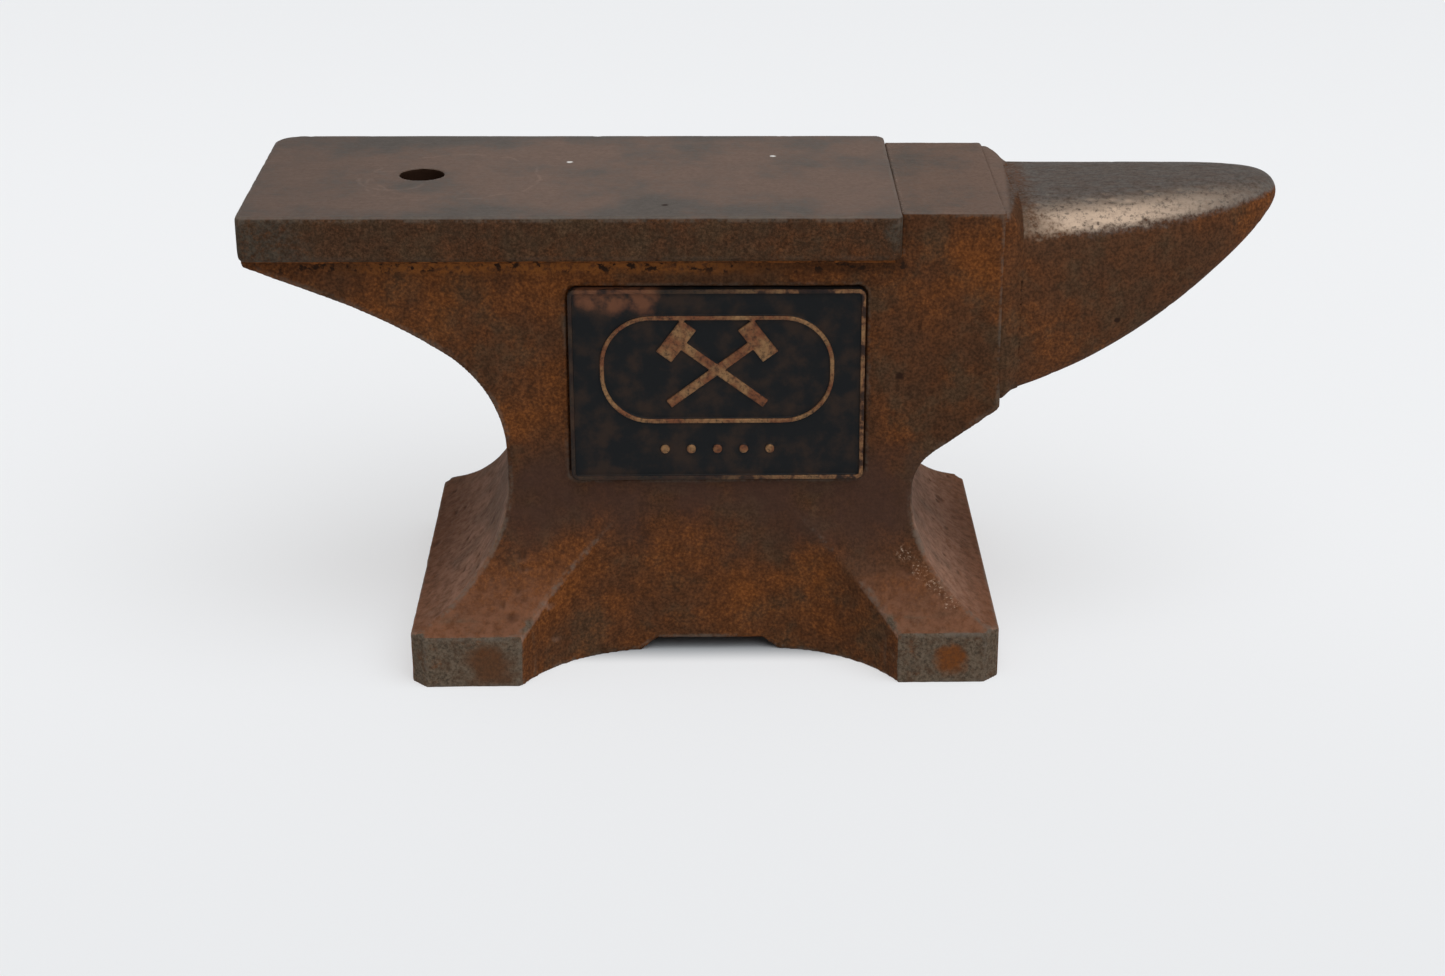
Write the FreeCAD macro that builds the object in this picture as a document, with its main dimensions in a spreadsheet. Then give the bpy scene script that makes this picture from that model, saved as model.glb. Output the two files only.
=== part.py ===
"""Small London-pattern anvil: casting, steel face, horn, name plate and the welds between them.

Millimetres, +X towards the horn, +Z up. Everything is laid out around the middle of the base
and then slid along X, so that the origin is under the middle of the whole length, on the floor.
"""
import FreeCAD, Part
import Sketcher
import math
import os
import re

doc = FreeCAD.newDocument("anvil")
sheet = doc.addObject("Spreadsheet::Sheet", "Dims")

DIMENSIONS = {
    # overall places, along X from the middle of the base
    "heel_reach": 120.0,
    "tip_reach": 156.0,
    "table_reach": 79.0,
    "face_reach": 51.5,
    # steel face
    "face_level": 126.0,
    "face_thickness": 12.3,
    "face_width": 80.0,
    "face_corner_radius": 2.5,
    "face_back_corner_radius": 7.5,
    "face_edge_radius": 0.9,
    "face_lower_radius": 1.6,
    # casting: flanks, table and heel
    "flank_width": 69.2,
    "table_drop": 0.4,
    "table_edge_radius": 1.2,
    "body_heel_gap": 0.2,
    "heel_lip": 2.8,
    "heel_knee_reach": 83.8,
    "heel_knee_level": 96.8,
    "heel_knee_radius": 160.0,
    "throat_level": 76.8,
    "throat_radius": 36.0,
    # casting: the underside towards the horn
    "chin_level": 70.6,
    "chin_radius": 2.0,
    "chest_level": 54.0,
    "chest_radius": 13.0,
    # casting: waist and feet
    "heel_waist_reach": 53.0,
    "heel_waist_level": 52.0,
    "horn_waist_reach": 56.0,
    "horn_waist_level": 46.0,
    "base_length": 158.0,
    "base_width": 112.8,
    "foot_height": 14.3,
    "foot_corner_cut": 4.0,
    "foot_corner_height": 24.0,
    "scoop_radius": 40.0,
    "scoop_flat": 30.0,
    "scoop_middle": 1.0,
    "cut_spare": 5.0,
    "relief_height": 3.6,
    "relief_roof": 29.0,
    "relief_mouth": 38.0,
    "flank_edge_radius": 1.0,
    "ridge_radius": 1.6,
    # round hole through the heel
    "hole_radius": 6.0,
    "hole_reach": 75.8,
    "hole_depth": 40.0,
    # horn, from its root against the casting to its tip
    "horn_half_width": 33.2,
    "horn_tip_level": 122.2,
    "crest_rise": 7.4,
    "crest_fall": 4.8,
    "belly_depth": 38.7,
    "belly_swing": 11.0,
    "belly_sag": 2.2,
    "tenon_radius": 13.0,
    "tenon_length": 20.0,
    "tenon_level": 98.0,
    "tenon_root": 1.0,
    "socket_spare": 1.0,
    # weld beads
    "bead_leg": 2.4,
    "bead_radius": 3.0,
    "bead_end_gap": 1.5,
    "collar_length": 5.2,
    "collar_land": 0.2,
    "collar_inset": 0.1,
    # name plate in its recess, and the studs behind it
    "plate_length": 78.2,
    "plate_height": 53.7,
    "plate_middle": 3.3,
    "plate_level": 78.3,
    "plate_thickness": 2.4,
    "plate_corner_radius": 2.0,
    "recess_depth": 1.4,
    "recess_gap": 0.5,
    "relief_rise": 0.8,
    "rim_width": 1.1,
    "emblem_lift": 4.5,
    "ring_length": 62.0,
    "ring_height": 30.0,
    "ring_radius": 13.5,
    "hammer_reach": 16.0,
    "handle_width": 2.4,
    "head_length": 11.0,
    "head_width": 5.0,
    "dot_radius": 1.2,
    "dot_spacing": 7.0,
    "dot_drop": 18.0,
    "stud_radius": 1.5,
    "stud_inset": 8.0,
    "stud_in_plate": 1.2,
    "stud_in_body": 5.0,
    "stud_hole_depth": 5.5,
}

for row, (alias, size) in enumerate(DIMENSIONS.items(), start=1):
    sheet.set("A%d" % row, alias)
    sheet.set("B%d" % row, str(size))
    sheet.setAlias("B%d" % row, alias)
doc.recompute()

# The origin stands under the middle of the overall length.
FRAME_SHIFT = "(heel_reach - tip_reach) / 2"
# The flanks' hollow and the scoops between the feet share one radius.
FLARE_RISE = "sqrt(scoop_radius^2 - (scoop_radius - (base_width - flank_width) / 2)^2)"
# One stud near each corner of the name plate.
STUD_PLACES = [
    ("plate_middle %s (plate_length / 2 - stud_inset)" % across,
     "plate_level %s (plate_height / 2 - stud_inset)" % up)
    for across in "-+" for up in "-+"
]
# The row of dots under the emblem counts outwards from the plate's middle.
DOT_STEPS = (-2, -1, 0, 1, 2)
# Direction of a hammer's handle, as the long sides of a 3-4-5 triangle.
HAMMER_ACROSS = 0.8
HAMMER_UP = 0.6
# How close an edge lies to a plane to be on it, and how far off one to be clear of it.
ON_PLANE = 0.01
CLEAR = 1.0
# Powers of the horn's section: 2 is an ellipse, more is a squarer shoulder.
CREST_POWER = 3.9
BELLY_POWER = 9.4
BELLY_POWER_GROWTH = 1.7
CREST_SHARPNESS = 5
WIDTH_GROWTH = 0.75
# The weld collar starts square, as the casting's end is, and sinks onto the horn along an S-curve.
COLLAR_POWER = 12.0
COLLAR_SHARES = (0, 0.2, 0.4, 0.6, 0.8, 1)
# The collar keeps its full height over this share of its length; its belly is gone at the other.
COLLAR_HOLD = 0.2
COLLAR_BELLY_END = 0.6
SECTION_POINTS = 72
HORN_STATIONS = 12
TIP_STATION = 0.03


def bound(expression):
    """The expression with every sheet name written as FreeCAD wants it."""
    return re.sub(r"\b([a-z]+(?:_[a-z]+)+)\b", r"Dims.\1", expression)


def value(expression):
    """The number that an expression in the sheet's names comes to."""
    return float(sheet.evalExpression(bound(expression)))


def new_body(label):
    """An empty body at the assembly's place."""
    body = doc.addObject("PartDesign::Body", label)
    body.Label = label
    body.setExpression("Placement.Base.x", bound(FRAME_SHIFT))
    return body


def sketch_on(body, name, role, offset="0"):
    """A sketch on one of the body's own origin planes, moved along that plane's normal."""
    sketch = body.newObject("Sketcher::SketchObject", name)
    plane = next(item for item in body.Origin.OriginFeatures if item.Role == role)
    sketch.AttachmentSupport = (plane, "")
    sketch.MapMode = "FlatFace"
    sketch.setExpression("AttachmentOffset.Base.z", bound(offset))
    return sketch


def pin(sketch, geometry, point, place):
    """Tie one point of the sketch to a place given by two expressions."""
    for kind, expression in zip(("DistanceX", "DistanceY"), place):
        tie = Sketcher.Constraint(kind, -1, 1, geometry, point, value(expression))
        index = sketch.addConstraint(tie)
        sketch.setExpression("Constraints[%d]" % index, bound(expression))


def set_radius(sketch, geometry, expression):
    """Tie an arc's or a circle's radius to an expression."""
    index = sketch.addConstraint(Sketcher.Constraint("Radius", geometry, value(expression)))
    sketch.setExpression("Constraints[%d]" % index, bound(expression))


def arc_between(start, end, radius, centre_on_left):
    """Arc from start to end, and which of its ends (1 or 2) is the start."""
    chord = end - start
    side = FreeCAD.Vector(-chord.y, chord.x, 0).normalize()
    if not centre_on_left:
        side = -side
    reach = math.sqrt(radius ** 2 - (chord.Length / 2) ** 2)
    centre = start + chord / 2 + side * reach
    circle = Part.Circle(centre, FreeCAD.Vector(0, 0, 1), radius)
    from_angle = math.atan2(start.y - centre.y, start.x - centre.x)
    to_angle = math.atan2(end.y - centre.y, end.x - centre.x)
    if centre_on_left:
        return Part.ArcOfCircle(circle, from_angle, to_angle), 1
    return Part.ArcOfCircle(circle, to_angle, from_angle), 2


class Corner:
    """One corner of an outline: its place, its rounding, and the arc that leaves it, if any."""

    def __init__(self, across, up, rounding=None, arc=None, centre_on_left=False):
        self.place = (across, up)
        self.rounding = rounding
        self.arc = arc
        self.centre_on_left = centre_on_left
        self.point = FreeCAD.Vector(value(across), value(up), 0)


def rounding_ends(before, corner, after):
    """Where a corner's rounding leaves the edge before it and meets the edge after it."""
    back = (before.point - corner.point).normalize()
    on = (after.point - corner.point).normalize()
    half_angle = back.getAngle(on) / 2
    reach = value(corner.rounding) / math.tan(half_angle)
    return corner.point + back * reach, corner.point + on * reach


def closed_outline(sketch, corners):
    """Draw a closed outline of lines and arcs, every corner tied to the sheet."""
    count = len(corners)
    arrive = [corner.point for corner in corners]
    leave = list(arrive)
    for i, corner in enumerate(corners):
        if corner.rounding:
            ends = rounding_ends(corners[i - 1], corner, corners[(i + 1) % count])
            arrive[i], leave[i] = ends
    edges = []
    for i, corner in enumerate(corners):
        start, end = leave[i], arrive[(i + 1) % count]
        if corner.arc:
            shape, first = arc_between(start, end, value(corner.arc), corner.centre_on_left)
        else:
            shape, first = Part.LineSegment(start, end), 1
        index = sketch.addGeometry(shape, False)
        edges.append((index, first, 3 - first))
        if corner.arc:
            set_radius(sketch, index, corner.arc)
    for i, corner in enumerate(corners):
        before, after = edges[i - 1], edges[i]
        if not corner.rounding:
            sketch.addConstraint(
                Sketcher.Constraint("Coincident", before[0], before[2], after[0], after[1])
            )
            pin(sketch, after[0], after[1], corner.place)
            continue
        back = corners[i - 1].point - corner.point
        on = corners[(i + 1) % count].point - corner.point
        turns_left = (back.x * on.y - back.y * on.x) < 0
        shape, first = arc_between(arrive[i], leave[i], value(corner.rounding), turns_left)
        index = sketch.addGeometry(shape, False)
        mark = sketch.addGeometry(Part.Point(corner.point), True)
        pin(sketch, mark, 1, corner.place)
        sketch.addConstraint([
            Sketcher.Constraint("Tangent", before[0], before[2], index, first),
            Sketcher.Constraint("Tangent", index, 3 - first, after[0], after[1]),
            Sketcher.Constraint("PointOnObject", mark, 1, before[0]),
            Sketcher.Constraint("PointOnObject", mark, 1, after[0]),
        ])
        set_radius(sketch, index, corner.rounding)


def rectangle(sketch, left, right, low, high, rounding=None):
    """Closed rectangle between four expressions, its corners rounded alike."""
    closed_outline(sketch, [
        Corner(left, low, rounding),
        Corner(right, low, rounding),
        Corner(right, high, rounding),
        Corner(left, high, rounding),
    ])


def circle(sketch, across, up, radius):
    """Circle with its centre and radius tied to the sheet."""
    centre = FreeCAD.Vector(value(across), value(up), 0)
    shape = Part.Circle(centre, FreeCAD.Vector(0, 0, 1), value(radius))
    index = sketch.addGeometry(shape, False)
    pin(sketch, index, 3, (across, up))
    set_radius(sketch, index, radius)


def pad(body, name, sketch, length, symmetric=False, reverse=False):
    """Extrude a sketch into the body."""
    feature = body.newObject("PartDesign::Pad", name)
    feature.Profile = sketch
    feature.SideType = "Symmetric" if symmetric else "One side"
    feature.Reversed = reverse
    feature.setExpression("Length", bound(length))
    doc.recompute()
    return feature


def pocket(body, name, sketch, length, symmetric=False, reverse=False):
    """Cut a sketch out of the body, and stop if the cut misses it."""
    before = body.Shape.Volume
    feature = body.newObject("PartDesign::Pocket", name)
    feature.Profile = sketch
    feature.SideType = "Symmetric" if symmetric else "One side"
    feature.Reversed = reverse
    feature.setExpression("Length", bound(length))
    doc.recompute()
    if not body.Shape.Volume < before - 1:
        raise RuntimeError(name + " cuts nothing")
    return feature


def round_edges(body, name, radius, chosen):
    """Round the edges of the body that the given test picks."""
    base = body.Tip
    names = ["Edge%d" % (i + 1) for i, edge in enumerate(base.Shape.Edges) if chosen(edge)]
    feature = body.newObject("PartDesign::Fillet", name)
    feature.Base = (base, names)
    feature.setExpression("Radius", bound(radius))
    doc.recompute()
    return feature


def local(body, point):
    """A point of the body's shape in the body's own coordinates."""
    return point - body.Placement.Base


def edge_middle(edge):
    """The point half way along an edge."""
    return edge.valueAt((edge.FirstParameter + edge.LastParameter) / 2)


def flare_radius(drop, rise):
    """Radius of an arc that starts upright and moves out by drop while it falls by rise."""
    return "((%s)^2 + (%s)^2) / (2 * (%s))" % (drop, rise, drop)


def casting_side(body):
    """Heel, waist, feet and table as one side view, as thick as the feet are wide."""
    sketch = sketch_on(body, "side_view", "XZ_Plane")
    heel_flare = flare_radius("base_length / 2 - heel_waist_reach", "heel_waist_level - foot_height")
    horn_flare = flare_radius("base_length / 2 - horn_waist_reach", "horn_waist_level - foot_height")
    seat = "face_level - face_thickness"
    closed_outline(sketch, [
        Corner("body_heel_gap - heel_reach", seat),
        Corner("body_heel_gap - heel_reach", seat + " - heel_lip"),
        Corner("-heel_knee_reach", "heel_knee_level", "heel_knee_radius"),
        Corner("-heel_waist_reach", "throat_level", "throat_radius"),
        Corner("-heel_waist_reach", "heel_waist_level", arc=heel_flare),
        Corner("-base_length / 2", "foot_height"),
        Corner("-base_length / 2", "0"),
        Corner("base_length / 2", "0"),
        Corner("base_length / 2", "foot_height", arc=horn_flare),
        Corner("horn_waist_reach", "horn_waist_level"),
        Corner("horn_waist_reach", "chest_level", "chest_radius"),
        Corner("table_reach", "chin_level", "chin_radius"),
        Corner("table_reach", "face_level - table_drop"),
        Corner("face_reach", "face_level - table_drop"),
        Corner("face_reach", seat),
    ])
    return pad(body, "casting", sketch, "base_width", symmetric=True)


def casting_flanks(body):
    """Cut both sides back to flat flanks that sweep out to the feet in a quarter hollow."""
    sketch = sketch_on(body, "flank_view", "YZ_Plane")
    flare = flare_radius("(base_width - flank_width) / 2", FLARE_RISE)
    for side, on_left in (("-", True), ("", False)):
        closed_outline(sketch, [
            Corner(side + "base_width / 2", "foot_height", arc=flare, centre_on_left=on_left),
            Corner(side + "flank_width / 2", "foot_height + " + FLARE_RISE),
            Corner(side + "flank_width / 2", "face_level + cut_spare"),
            Corner(side + "(base_width / 2 + cut_spare)", "face_level + cut_spare"),
            Corner(side + "(base_width / 2 + cut_spare)", "foot_height"),
        ])
    pocket(body, "flanks", sketch, "2 * (heel_reach + tip_reach)", symmetric=True)


def casting_scoops(body):
    """Scoop the base between the front feet and between the back feet."""
    sketch = sketch_on(body, "scoop_plan", "XY_Plane")
    left_foot = "scoop_middle - scoop_flat / 2 - " + FLARE_RISE
    right_foot = "scoop_middle + scoop_flat / 2 + " + FLARE_RISE
    for side, on_left in (("-", False), ("", True)):
        closed_outline(sketch, [
            Corner(left_foot, side + "(base_width / 2 + cut_spare)"),
            Corner(left_foot, side + "base_width / 2", arc="scoop_radius", centre_on_left=on_left),
            Corner("scoop_middle - scoop_flat / 2", side + "flank_width / 2"),
            Corner("scoop_middle + scoop_flat / 2", side + "flank_width / 2",
                   arc="scoop_radius", centre_on_left=on_left),
            Corner(right_foot, side + "base_width / 2"),
            Corner(right_foot, side + "(base_width / 2 + cut_spare)"),
        ])
    pocket(body, "scoops", sketch, "heel_waist_level + cut_spare", reverse=True)


def casting_corners(body):
    """Take the upright corner off each foot."""
    sketch = sketch_on(body, "corner_plan", "XY_Plane")
    for across in ("-", ""):
        for along in ("-", ""):
            x, y = across + "(base_length / 2%s)", along + "(base_width / 2%s)"
            closed_outline(sketch, [
                Corner(x % "", y % " - foot_corner_cut"),
                Corner(x % " + foot_corner_cut", y % " - foot_corner_cut"),
                Corner(x % " + foot_corner_cut", y % " + foot_corner_cut"),
                Corner(x % " - foot_corner_cut", y % " + foot_corner_cut"),
                Corner(x % " - foot_corner_cut", y % ""),
            ])
    pocket(body, "foot_corners", sketch, "foot_corner_height", reverse=True)


def casting_relief(body):
    """Shallow channel under the middle of the base, from front to back."""
    sketch = sketch_on(body, "relief_view", "XZ_Plane")
    closed_outline(sketch, [
        Corner("scoop_middle - relief_mouth / 2", "0"),
        Corner("scoop_middle + relief_mouth / 2", "0"),
        Corner("scoop_middle + relief_roof / 2", "relief_height"),
        Corner("scoop_middle - relief_roof / 2", "relief_height"),
    ])
    pocket(body, "base_relief", sketch, "base_width", symmetric=True)


def casting_ridges(body):
    """Soften the long edges of the flanks, and the ridges that run down them to the feet."""
    low, high = value("foot_height") + CLEAR, value("face_level - face_thickness - heel_lip")
    flank, waist, end = value("flank_width / 2"), value("heel_waist_reach"), value("table_reach")

    def on_a_flank(edge):
        middle = local(body, edge_middle(edge))
        on_edge = abs(abs(middle.y) - flank) < ON_PLANE and abs(middle.x) > waist - CLEAR
        return on_edge and low < middle.z < high and middle.x < end - ON_PLANE

    def on_a_ridge(edge):
        middle = local(body, edge_middle(edge))
        return abs(middle.y) > flank + ON_PLANE and low < middle.z < high

    round_edges(body, "flank_edges", "flank_edge_radius", on_a_flank)
    round_edges(body, "foot_ridges", "ridge_radius", on_a_ridge)


def casting_table(body):
    """Soften the table's two long edges."""
    level = value("face_level - table_drop")
    flank = value("flank_width / 2")

    def on_a_long_edge(edge):
        middle = local(body, edge_middle(edge))
        return abs(middle.z - level) < ON_PLANE and abs(abs(middle.y) - flank) < ON_PLANE

    round_edges(body, "table_edges", "table_edge_radius", on_a_long_edge)


def casting_seats(body):
    """Hole through the heel, socket for the horn's tenon, and the name plate's recess."""
    sketch = sketch_on(body, "hole_plan", "XY_Plane", "face_level - face_thickness")
    circle(sketch, "-hole_reach", "0", "hole_radius")
    pocket(body, "heel_hole", sketch, "hole_depth")
    sketch = sketch_on(body, "socket_view", "YZ_Plane", "table_reach")
    circle(sketch, "0", "tenon_level", "tenon_radius")
    pocket(body, "horn_socket", sketch, "tenon_length + socket_spare")
    sketch = sketch_on(body, "recess_view", "XZ_Plane", "flank_width / 2")
    rectangle(
        sketch,
        "plate_middle - plate_length / 2 - recess_gap",
        "plate_middle + plate_length / 2 + recess_gap",
        "plate_level - plate_height / 2 - recess_gap",
        "plate_level + plate_height / 2 + recess_gap",
        "plate_corner_radius + recess_gap",
    )
    pocket(body, "plate_recess", sketch, "recess_depth")
    sketch = sketch_on(body, "stud_view", "XZ_Plane", "flank_width / 2 - recess_depth")
    for across, up in STUD_PLACES:
        circle(sketch, across, up, "stud_radius")
    pocket(body, "stud_holes", sketch, "stud_hole_depth")


def anvil_body():
    """The casting: heel, waist, four feet and table, with its seats for the other pieces."""
    body = new_body("anvil_body")
    casting_side(body)
    casting_flanks(body)
    casting_scoops(body)
    casting_corners(body)
    casting_relief(body)
    casting_ridges(body)
    casting_table(body)
    casting_seats(body)
    return body


def face_plate():
    """Steel face on top of the casting, with the hole running through it."""
    body = new_body("face_plate")
    sketch = sketch_on(body, "face_plan", "XY_Plane", "face_level - face_thickness")
    closed_outline(sketch, [
        Corner("-heel_reach", "-face_width / 2", "face_corner_radius"),
        Corner("face_reach", "-face_width / 2", "face_corner_radius"),
        Corner("face_reach", "face_width / 2", "face_corner_radius"),
        Corner("-heel_reach", "face_width / 2", "face_back_corner_radius"),
    ])
    pad(body, "face", sketch, "face_thickness")
    top = value("face_level")
    bottom = value("face_level - face_thickness")
    round_edges(body, "upper_edges", "face_edge_radius",
                lambda edge: abs(edge_middle(edge).z - top) < ON_PLANE)
    round_edges(body, "lower_edges", "face_lower_radius",
                lambda edge: abs(edge_middle(edge).z - bottom) < ON_PLANE)
    sketch = sketch_on(body, "face_hole_plan", "XY_Plane", "face_level")
    circle(sketch, "-hole_reach", "0", "hole_radius")
    pocket(body, "face_hole", sketch, "face_thickness")
    return body


def station_at(distance):
    """The station that lies at a distance back from the tip."""
    share = distance / value("tip_reach - table_reach")
    return math.sqrt(TIP_STATION ** 2 + share * (1 - TIP_STATION ** 2))


def horn_shape(station):
    """Place, size and squareness of the horn's section, from TIP_STATION at the tip to 1 at the root."""
    share = (station ** 2 - TIP_STATION ** 2) / (1 - TIP_STATION ** 2)
    x = value("tip_reach") - value("tip_reach - table_reach") * share
    rise = value("crest_rise") * (1 - (1 - station) ** CREST_SHARPNESS)
    top = value("horn_tip_level") + rise - value("crest_fall") * station
    swing = value("belly_swing") * math.cos(math.pi * station)
    sag = value("belly_sag") * math.sin(math.pi * station ** 2)
    bottom = value("horn_tip_level") - station * (value("belly_depth") - swing) - sag
    half_width = value("horn_half_width") * station ** WIDTH_GROWTH
    crest_power = 2 + (CREST_POWER - 2) * station
    belly_power = 2 + (BELLY_POWER - 2) * station ** BELLY_POWER_GROWTH
    return x, half_width, bottom, top, crest_power, belly_power


def squircle(x, half_width, bottom, top, upper_power, lower_power):
    """Closed smooth outline at x, rounder or squarer by the two powers."""
    middle, half_height = (top + bottom) / 2, (top - bottom) / 2
    points = []
    for i in range(SECTION_POINTS):
        angle = 2 * math.pi * i / SECTION_POINTS
        across, up = math.cos(angle), math.sin(angle)
        power = upper_power if up > 0 else lower_power
        reach = (abs(across) ** power + abs(up) ** power) ** (-1 / power)
        points.append(FreeCAD.Vector(x, half_width * across * reach, middle + half_height * up * reach))
    curve = Part.BSplineCurve()
    curve.interpolate(points, PeriodicFlag=True)
    return Part.Wire(curve.toShape())


def horn_solid():
    """The horn without its tenon, lofted through stations that crowd towards the tip."""
    steps = range(HORN_STATIONS)
    stations = [1 - (1 - TIP_STATION) * i / (HORN_STATIONS - 1) for i in steps]
    return Part.makeLoft([squircle(*horn_shape(station)) for station in stations], True, False)


def place_feature(label, shape):
    """A finished shape as an object of the document, at the assembly's place."""
    feature = doc.addObject("Part::Feature", label)
    feature.Label = label
    feature.Shape = shape
    feature.Placement = FreeCAD.Placement(
        FreeCAD.Vector(value(FRAME_SHIFT), 0, 0), FreeCAD.Rotation()
    )
    return feature


def horn():
    """The horn with the round tenon that locates it in the casting."""
    start = value("table_reach - tenon_length")
    tenon = Part.makeCylinder(
        value("tenon_radius"), value("tenon_length + tenon_root"),
        FreeCAD.Vector(start, 0, value("tenon_level")), FreeCAD.Vector(1, 0, 0),
    )
    return place_feature("horn", horn_solid().fuse(tenon))


def falling(share, start, end):
    """1 up to the start, 0 from the end on, and a smooth fall between."""
    passed = min(max((share - start) / (end - start), 0), 1)
    return (1 + math.cos(math.pi * passed)) / 2


def collar_section(share):
    """Outline of the weld collar: as square as the casting's end at 0, just over the horn at 1."""
    station = station_at(value("tip_reach - table_reach") - share * value("collar_length"))
    x, half_width, bottom, top, crest_power, belly_power = horn_shape(station)
    land, inset = value("collar_land"), value("collar_inset")
    above = falling(share, COLLAR_HOLD, 1)
    below = falling(share, 0, COLLAR_BELLY_END)

    def blended(at_casting, at_horn, squareness):
        return at_horn + (at_casting - at_horn) * squareness

    return squircle(
        x,
        blended(value("flank_width / 2") - inset, half_width + land, above),
        blended(value("chin_level + chin_radius / 2") + inset, bottom - land, below),
        blended(value("face_level - table_drop") - inset, top + land, above),
        blended(COLLAR_POWER, crest_power, above),
        blended(COLLAR_POWER, belly_power, below),
    )


def horn_weld():
    """Collar of weld round the horn's root, from the casting's end face out onto the horn."""
    outer = Part.makeLoft([collar_section(share) for share in COLLAR_SHARES], True, False)
    return place_feature("horn_weld", outer.cut(horn_solid()))


def face_weld(label, side, on_left):
    """Bead in the corner between one flank and the face's overhang, with a hollow front."""
    body = new_body(label)
    sketch = sketch_on(body, label + "_view", "YZ_Plane", "body_heel_gap + bead_end_gap - heel_reach")
    seat = "face_level - face_thickness"
    flank = side + "flank_width / 2"
    closed_outline(sketch, [
        Corner(flank, seat),
        Corner(flank, seat + " - bead_leg", arc="bead_radius", centre_on_left=on_left),
        Corner(side + "(flank_width / 2 + bead_leg)", seat),
    ])
    pad(body, label + "_bead", sketch,
        "heel_reach + face_reach - body_heel_gap - 2 * bead_end_gap")
    return body


def raised_frame(body, name, offset, sides, rounding, line_width):
    """Raised line that runs round a rectangle with rounded corners."""
    sketch = sketch_on(body, name + "_view", "XZ_Plane", offset)
    left, right, low, high = sides
    rectangle(sketch, left, right, low, high, rounding)
    rectangle(sketch, left + " + " + line_width, right + " - " + line_width,
              low + " + " + line_width, high + " - " + line_width, rounding + " - " + line_width)
    pad(body, name, sketch, "relief_rise")


def raised_hammer(body, name, offset, lean):
    """Raised hammer that leans to one side: a straight handle with a cross head at its top."""
    outline = [
        ("-hammer_reach", "-handle_width / 2"),
        ("hammer_reach - head_width", "-handle_width / 2"),
        ("hammer_reach - head_width", "-head_length / 2"),
        ("hammer_reach", "-head_length / 2"),
        ("hammer_reach", "head_length / 2"),
        ("hammer_reach - head_width", "head_length / 2"),
        ("hammer_reach - head_width", "handle_width / 2"),
        ("-hammer_reach", "handle_width / 2"),
    ]
    sketch = sketch_on(body, name + "_view", "XZ_Plane", offset)
    corners = []
    for along, beside in outline:
        across = "%s * (%s) - %s * (%s)" % (HAMMER_ACROSS, along, HAMMER_UP, beside)
        up = "%s * (%s) + %s * (%s)" % (HAMMER_UP, along, HAMMER_ACROSS, beside)
        corners.append(Corner(
            "plate_middle %s (%s)" % (lean, across),
            "plate_level + emblem_lift + %s" % up,
        ))
    closed_outline(sketch, corners)
    pad(body, name, sketch, "relief_rise")


def name_plaque():
    """Name plate with a raised rim, a rounded ring, two crossed hammers and a row of dots."""
    body = new_body("name_plaque")
    front = "flank_width / 2 - recess_depth"
    left, right = "plate_middle - plate_length / 2", "plate_middle + plate_length / 2"
    low, high = "plate_level - plate_height / 2", "plate_level + plate_height / 2"
    sketch = sketch_on(body, "plate_view", "XZ_Plane", front)
    rectangle(sketch, left, right, low, high, "plate_corner_radius")
    pad(body, "plate", sketch, "plate_thickness")
    face = front + " + plate_thickness"
    raised_frame(body, "rim", face, (left, right, low, high), "plate_corner_radius", "rim_width")
    ring = (
        "plate_middle - ring_length / 2",
        "plate_middle + ring_length / 2",
        "plate_level + emblem_lift - ring_height / 2",
        "plate_level + emblem_lift + ring_height / 2",
    )
    raised_frame(body, "ring", face, ring, "ring_radius", "rim_width")
    raised_hammer(body, "right_hammer", face, "+")
    raised_hammer(body, "left_hammer", face, "-")
    sketch = sketch_on(body, "dot_view", "XZ_Plane", face)
    for step in DOT_STEPS:
        circle(sketch, "plate_middle + (%d) * dot_spacing" % step, "plate_level - dot_drop", "dot_radius")
    pad(body, "dots", sketch, "relief_rise")
    sketch = sketch_on(body, "plate_stud_view", "XZ_Plane", front)
    for across, up in STUD_PLACES:
        circle(sketch, across, up, "stud_radius")
    pocket(body, "plate_stud_holes", sketch, "stud_in_plate", reverse=True)
    return body


def plaque_studs():
    """Four plain studs that pass from the name plate into the casting, as one group."""
    studs = []
    for number, (across, up) in enumerate(STUD_PLACES, start=1):
        stud = doc.addObject("Part::Cylinder", "stud_%d" % number)
        stud.setExpression("Radius", bound("stud_radius"))
        stud.setExpression("Height", bound("stud_in_plate + stud_in_body"))
        stud.Placement.Rotation = FreeCAD.Rotation(FreeCAD.Vector(1, 0, 0), 90)
        stud.setExpression("Placement.Base.x", bound(across))
        stud.setExpression("Placement.Base.y", bound("stud_in_body - (flank_width / 2 - recess_depth)"))
        stud.setExpression("Placement.Base.z", bound(up))
        studs.append(stud)
    group = doc.addObject("Part::Compound", "plaque_studs")
    group.Label = "plaque_studs"
    group.Links = studs
    group.setExpression("Placement.Base.x", bound(FRAME_SHIFT))
    return group


def check(parts):
    """Stop if any object failed or any piece is empty or not valid."""
    for item in doc.Objects:
        if "Invalid" in item.State or "Error" in item.State:
            raise RuntimeError("failed: " + item.Name)
        if item.TypeId == "Sketcher::SketchObject" and not item.FullyConstrained:
            raise RuntimeError("loose sketch: " + item.Name)
    for part in parts:
        if part.Shape.isNull() or not part.Shape.isValid() or not part.Shape.Solids:
            raise RuntimeError("bad shape: " + part.Label)


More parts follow.
